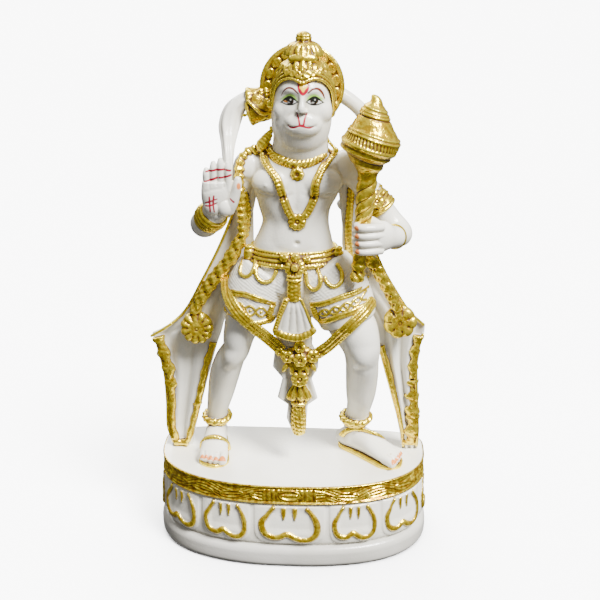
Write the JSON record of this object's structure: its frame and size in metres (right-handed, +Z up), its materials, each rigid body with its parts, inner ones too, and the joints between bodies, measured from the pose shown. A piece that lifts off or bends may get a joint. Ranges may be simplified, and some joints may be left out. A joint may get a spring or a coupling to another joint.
{
  "type": "hanuman figure",
  "caption": "Standing crowned monkey-god figure with mace, raised palm and spreading shawl, cast in one piece with its lotus plinth.",
  "frame": {"origin": "middle of the plinth's flat underside", "axes": "+Z up through the figure, -Y towards the viewer the figure faces, +X towards the side of the mace"},
  "size_m": [0.2053, 0.095, 0.3794],
  "materials": {
    "white_enamel": "glossy off-white enamel over cast marble-dust resin",
    "gold_paint": "bright metallic gold paint with brown in the recesses"
  },
  "bodies": {
    "root": {"statue": "white_enamel"}
  },
  "joints": []
}
